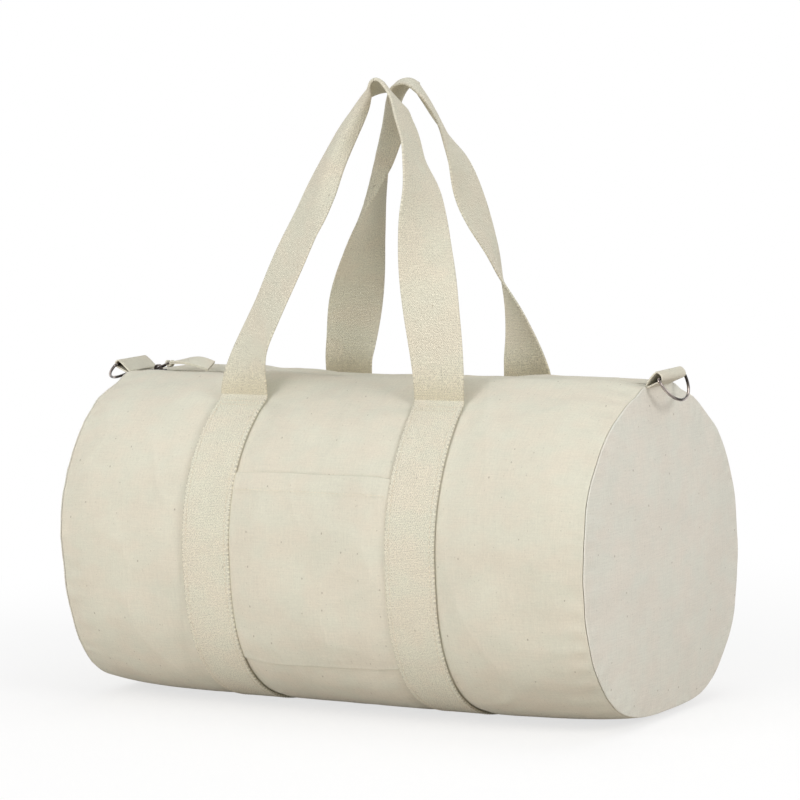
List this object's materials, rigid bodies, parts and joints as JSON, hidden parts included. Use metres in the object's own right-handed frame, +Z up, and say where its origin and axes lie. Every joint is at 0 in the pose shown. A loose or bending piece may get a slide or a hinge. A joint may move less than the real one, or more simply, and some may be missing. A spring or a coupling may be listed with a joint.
{
  "type": "barrel bag",
  "caption": "Soft canvas barrel bag with round ends, a zip along the top, a slip pocket, tall webbing carrying handles and metal rings for a strap.",
  "frame": {"origin": "middle of the base, on the surface that the bag stands on", "axes": "+X along the barrel, +Y away from the side with the pocket, +Z up through the zip to the handles"},
  "size_m": [0.5088, 0.2544, 0.4755],
  "materials": {
    "canvas": "matt unbleached cotton canvas",
    "binding": "matt cotton binding tape",
    "webbing": "matt twill-woven cotton webbing",
    "zip_tape": "matt woven tape",
    "zip_metal": "dark antique nickel, satin",
    "ring_metal": "dark nickel plate, glossy"
  },
  "bodies": {
    "bag": {"main_panel": "canvas", "left_end_panel": "canvas", "right_end_panel": "canvas", "left_seam_binding": "binding", "right_seam_binding": "binding", "pocket_panel": "canvas", "left_strap": "webbing", "right_strap": "webbing", "front_zip_tape": "zip_tape", "back_zip_tape": "zip_tape", "front_zip_teeth": "zip_metal", "back_zip_teeth": "zip_metal", "zip_bottom_stop": "zip_metal", "front_zip_top_stop": "zip_metal", "back_zip_top_stop": "zip_metal", "left_ring_loop": "canvas", "right_ring_loop": "canvas"},
    "front_handle": {"front_handle": "webbing"},
    "back_handle": {"back_handle": "webbing"},
    "zip_slider": {"zip_slider": "zip_metal"},
    "zip_puller": {"zip_puller": "zip_metal"},
    "zip_pull_tab": {"zip_pull_tab": "canvas"},
    "left_d_ring": {"left_d_ring": "ring_metal"},
    "right_d_ring": {"right_d_ring": "ring_metal"}
  },
  "joints": [
    {"name": "front_handle_fold", "type": "hinge", "parent": "bag", "child": "front_handle", "pos_m": [0, -0.0637, 0.2377], "axis": [1, 0, 0], "range_deg": [0, 105]},
    {"name": "back_handle_fold", "type": "hinge", "parent": "bag", "child": "back_handle", "pos_m": [0, 0.0637, 0.2377], "axis": [-1, 0, 0], "range_deg": [0, 105]},
    {"name": "zip_slide", "type": "slide", "parent": "bag", "child": "zip_slider", "axis": [1, 0, 0], "range_m": [0, 0.38]},
    {"name": "puller_turn", "type": "hinge", "parent": "zip_slider", "child": "zip_puller", "pos_m": [-0.214, 0, 0.2481], "axis": [0, -1, 0], "range_deg": [0, 100]},
    {"name": "pull_tab_turn", "type": "hinge", "parent": "zip_puller", "child": "zip_pull_tab", "pos_m": [-0.20287, 0, 0.2526], "axis": [0, -1, 0], "range_deg": [0, 50]},
    {"name": "left_ring_swing", "type": "hinge", "parent": "bag", "child": "left_d_ring", "pos_m": [-0.24017, 0, 0.2525], "axis": [0, 1, 0], "range_deg": [-55, 170]},
    {"name": "right_ring_swing", "type": "hinge", "parent": "bag", "child": "right_d_ring", "pos_m": [0.24017, 0, 0.2525], "axis": [0, -1, 0], "range_deg": [-35, 190]}
  ]
}
